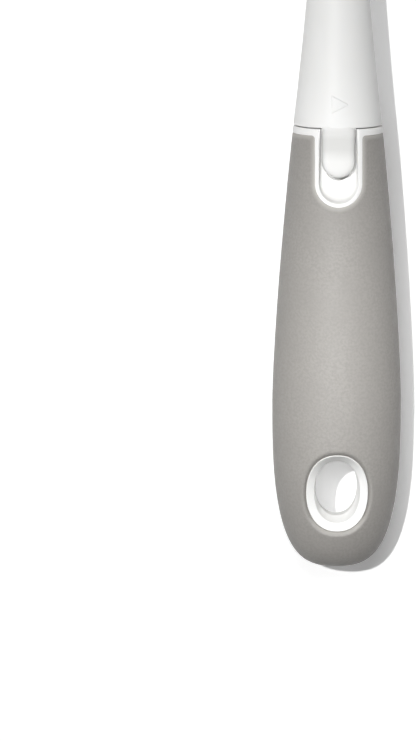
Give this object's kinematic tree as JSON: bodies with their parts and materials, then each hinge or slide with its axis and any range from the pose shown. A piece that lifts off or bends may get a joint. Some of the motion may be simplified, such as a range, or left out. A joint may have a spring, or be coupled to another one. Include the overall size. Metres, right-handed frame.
{
  "type": "bottle brush",
  "caption": "Bottle brush: oval soft-gripped handle with a hang hole, tapered neck with a press tab, and a twisted wire head of radial bristles.",
  "frame": {"origin": "the wall of the hang hole that bears on a hook, at the handle's end side, on the mid-plane of the handle", "axes": "+Y along the brush from the handle to the bristles; +Z out of the front face, where the press tab is; +X to the right seen from the front"},
  "size_m": [0.0492, 0.3348, 0.0493],
  "materials": {
    "white_plastic": "satin white polypropylene",
    "grey_rubber": "matt warm grey thermoplastic rubber",
    "steel_wire": "drawn stainless steel wire",
    "nylon_bristle": "clear white nylon filament"
  },
  "bodies": {
    "handle": {"handle_core": "white_plastic", "grip": "grey_rubber"},
    "brush_head": {"neck": "white_plastic", "twisted_wire": "steel_wire", "bristles_01": "nylon_bristle", "bristles_02": "nylon_bristle", "bristles_03": "nylon_bristle", "bristles_04": "nylon_bristle", "bristles_05": "nylon_bristle", "bristles_06": "nylon_bristle", "bristles_07": "nylon_bristle", "bristles_08": "nylon_bristle", "bristles_09": "nylon_bristle", "bristles_10": "nylon_bristle", "bristles_11": "nylon_bristle", "bristles_12": "nylon_bristle", "bristles_13": "nylon_bristle", "bristles_14": "nylon_bristle"},
    "tab": {"release_tab": "white_plastic"}
  },
  "joints": [
    {"name": "head_slide", "type": "slide", "parent": "handle", "child": "brush_head", "axis": [0, 1, 0], "range_m": [0, 0.034]},
    {"name": "tab_press", "type": "hinge", "parent": "brush_head", "child": "tab", "pos_m": [0, 0.1057, 0.0114], "axis": [1, 0, 0], "range_deg": [0, 5.5], "stiffness_Nm_per_rad": 0.45}
  ]
}
